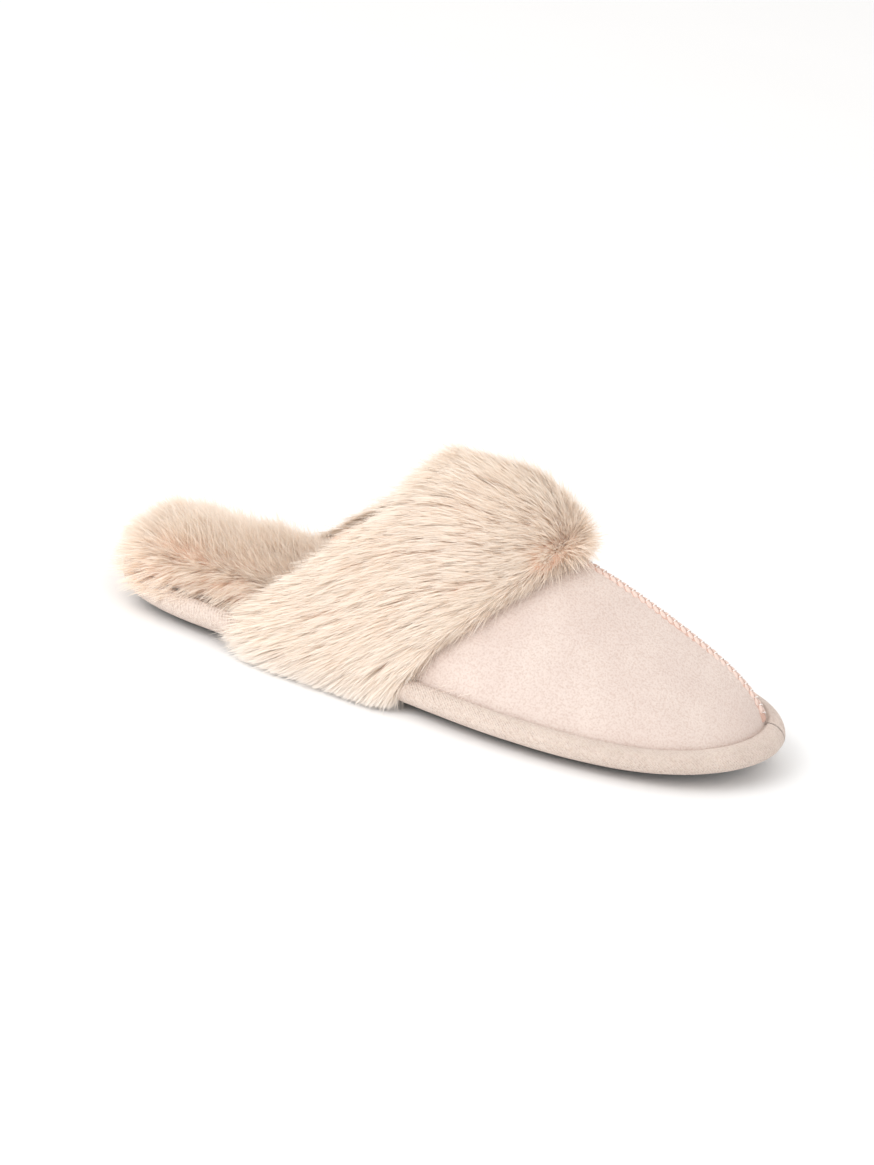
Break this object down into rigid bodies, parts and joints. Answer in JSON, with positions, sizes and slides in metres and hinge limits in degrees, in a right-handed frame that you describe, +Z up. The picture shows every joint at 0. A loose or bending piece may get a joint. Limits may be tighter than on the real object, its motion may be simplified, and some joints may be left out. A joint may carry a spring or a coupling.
{
  "type": "slipper",
  "caption": "Backless house slipper with a suede-like vamp and padded edge, a raised centre seam, a rolled long-pile cuff, a pile footbed and a ribbed rubber sole.",
  "frame": {"origin": "on the floor, under the middle of the slipper's bounding box", "axes": "+Z up, +X to the toe, +Y to the medial (big-toe) side"},
  "size_m": [0.2656, 0.1116, 0.085],
  "materials": {
    "sole_rubber": "matt black, moulded",
    "edge_suede": "napped faux suede",
    "vamp_suede": "napped faux suede",
    "seam_thread": "whip-stitched thread",
    "cuff_pile": "long soft pile",
    "footbed_pile": "long soft pile"
  },
  "bodies": {
    "root": {"outsole": "sole_rubber", "padded_edge": "edge_suede", "vamp": "vamp_suede", "centre_seam": "seam_thread", "pile_cuff": "cuff_pile", "pile_footbed": "footbed_pile"}
  },
  "joints": []
}
